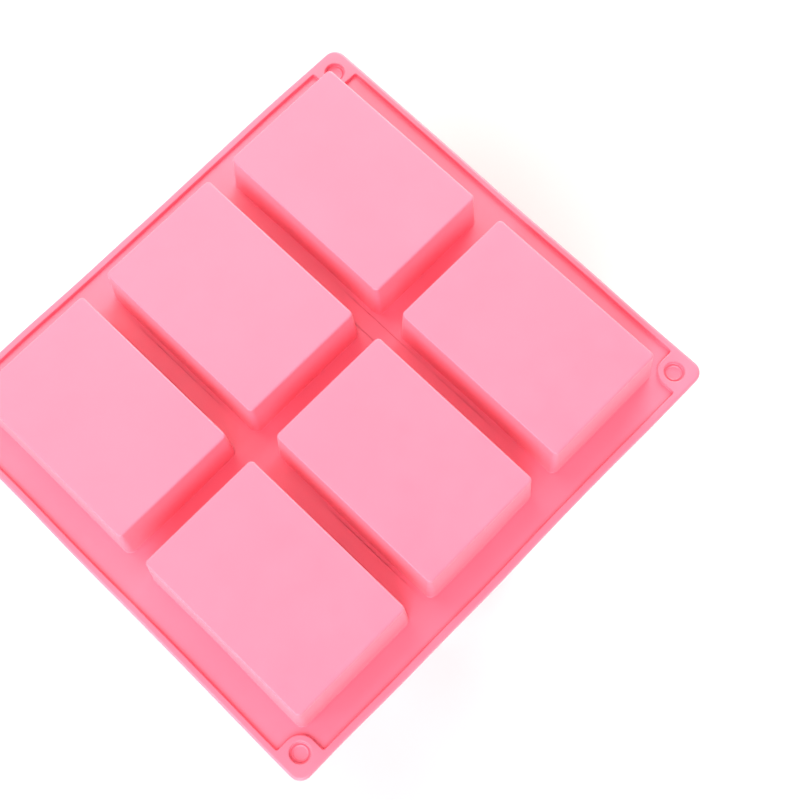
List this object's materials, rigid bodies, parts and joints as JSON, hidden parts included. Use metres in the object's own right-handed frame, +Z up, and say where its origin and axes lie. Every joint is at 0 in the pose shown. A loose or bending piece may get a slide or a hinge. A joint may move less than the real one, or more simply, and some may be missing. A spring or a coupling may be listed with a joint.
{
  "type": "soap mould",
  "caption": "Flexible silicone soap mould: a raised-rim web joins rectangular drafted cavities, with a round recess in each corner tab.",
  "frame": {"origin": "centre of the open face, on the plane that the mould stands on when its cavities point up", "axes": "+X along the long side, across the three columns; +Y along the short side, towards the back row; +Z up, from the open face to the outside of the cavity floors"},
  "size_m": [0.24, 0.222, 0.0268],
  "materials": {
    "web": "matte pink silicone",
    "cup_wall": "matte pink silicone",
    "cup_floor": "matte pink silicone",
    "corner_tab": "matte pink silicone"
  },
  "bodies": {
    "left_column": {"web_left": "web", "cup_wall_front_left": "cup_wall", "corner_tab_front_left": "corner_tab", "cup_wall_back_left": "cup_wall", "corner_tab_back_left": "corner_tab"},
    "middle_column": {"web_middle": "web", "cup_wall_front_middle": "cup_wall", "cup_wall_back_middle": "cup_wall"},
    "right_column": {"web_right": "web", "cup_wall_front_right": "cup_wall", "corner_tab_front_right": "corner_tab", "cup_wall_back_right": "cup_wall", "corner_tab_back_right": "corner_tab"},
    "floor_front_left": {"cup_floor_front_left": "cup_floor"},
    "floor_back_left": {"cup_floor_back_left": "cup_floor"},
    "floor_front_middle": {"cup_floor_front_middle": "cup_floor"},
    "floor_back_middle": {"cup_floor_back_middle": "cup_floor"},
    "floor_front_right": {"cup_floor_front_right": "cup_floor"},
    "floor_back_right": {"cup_floor_back_right": "cup_floor"}
  },
  "joints": [
    {"name": "fold_left", "type": "hinge", "parent": "middle_column", "child": "left_column", "pos_m": [-0.0365, 0, 0.0009], "axis": [0, -1, 0], "range_deg": [-26, 75], "stiffness_Nm_per_rad": 0.02},
    {"name": "fold_right", "type": "hinge", "parent": "middle_column", "child": "right_column", "pos_m": [0.0365, 0, 0.0009], "axis": [0, 1, 0], "range_deg": [-26, 75], "stiffness_Nm_per_rad": 0.02},
    {"name": "push_front_left", "type": "slide", "parent": "left_column", "child": "floor_front_left", "axis": [0, 0, -1], "range_m": [0, 0.012], "stiffness_N_per_m": 300},
    {"name": "push_back_left", "type": "slide", "parent": "left_column", "child": "floor_back_left", "axis": [0, 0, -1], "range_m": [0, 0.012], "stiffness_N_per_m": 300},
    {"name": "push_front_middle", "type": "slide", "parent": "middle_column", "child": "floor_front_middle", "axis": [0, 0, -1], "range_m": [0, 0.012], "stiffness_N_per_m": 300},
    {"name": "push_back_middle", "type": "slide", "parent": "middle_column", "child": "floor_back_middle", "axis": [0, 0, -1], "range_m": [0, 0.012], "stiffness_N_per_m": 300},
    {"name": "push_front_right", "type": "slide", "parent": "right_column", "child": "floor_front_right", "axis": [0, 0, -1], "range_m": [0, 0.012], "stiffness_N_per_m": 300},
    {"name": "push_back_right", "type": "slide", "parent": "right_column", "child": "floor_back_right", "axis": [0, 0, -1], "range_m": [0, 0.012], "stiffness_N_per_m": 300}
  ]
}
